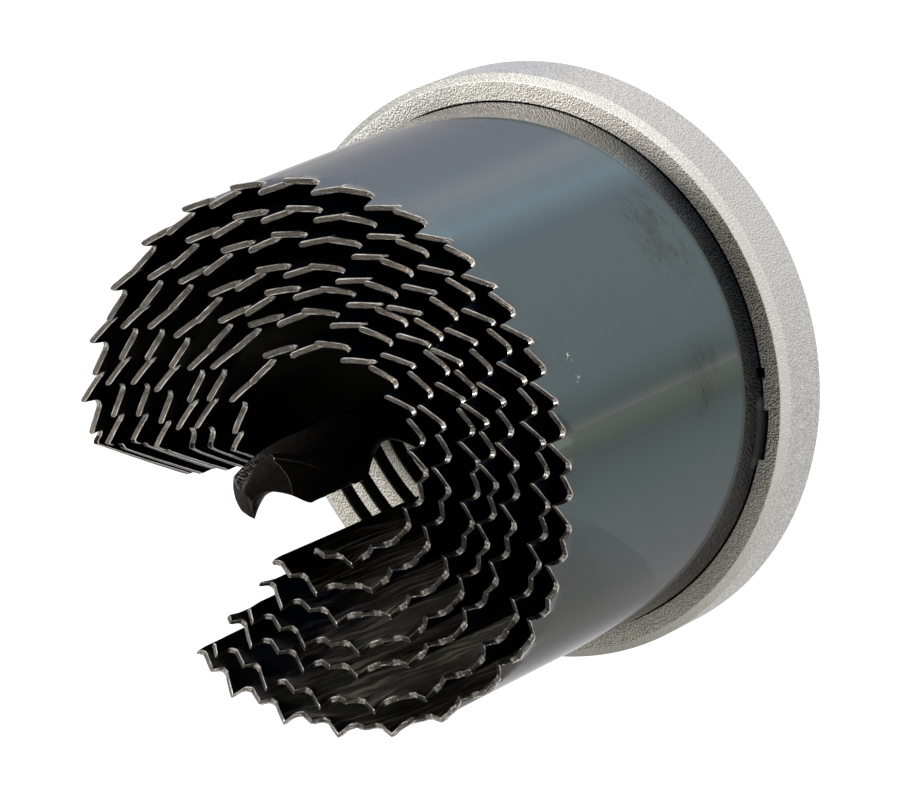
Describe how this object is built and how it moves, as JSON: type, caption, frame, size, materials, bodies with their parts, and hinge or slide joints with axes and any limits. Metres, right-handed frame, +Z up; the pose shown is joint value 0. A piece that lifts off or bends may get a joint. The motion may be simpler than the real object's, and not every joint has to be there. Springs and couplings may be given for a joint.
{
  "type": "hole saw",
  "caption": "Ring hole saw: concentric split toothed bands in a round die-cast holder, with a twist pilot drill in the middle and a hexagonal drive shank behind.",
  "frame": {"origin": "root of the hexagonal shank, on the rear face of the holder's hub and on the saw's axis", "axes": "+Y runs along the saw's axis to the free end of the shank, the teeth face -Y, and +Z is up"},
  "size_m": [0.0694, 0.1085, 0.0694],
  "materials": {
    "blued_saw_steel": "polished blued spring steel, dark inside, with ground tooth edges",
    "blasted_aluminium": "bead-blasted casting with a bright turned bevel",
    "black_oxide_steel": "black oxide with worn lips",
    "bright_steel": "drawn bright steel",
    "screw_steel": "black socket screw"
  },
  "bodies": {
    "root": {"saw_band_63": "blued_saw_steel", "saw_band_57": "blued_saw_steel", "saw_band_50": "blued_saw_steel", "saw_band_44": "blued_saw_steel", "saw_band_38": "blued_saw_steel", "saw_band_32": "blued_saw_steel", "saw_band_25": "blued_saw_steel", "band_holder": "blasted_aluminium", "pilot_drill": "black_oxide_steel", "drive_shank": "bright_steel", "drill_set_screw": "screw_steel"}
  },
  "joints": []
}
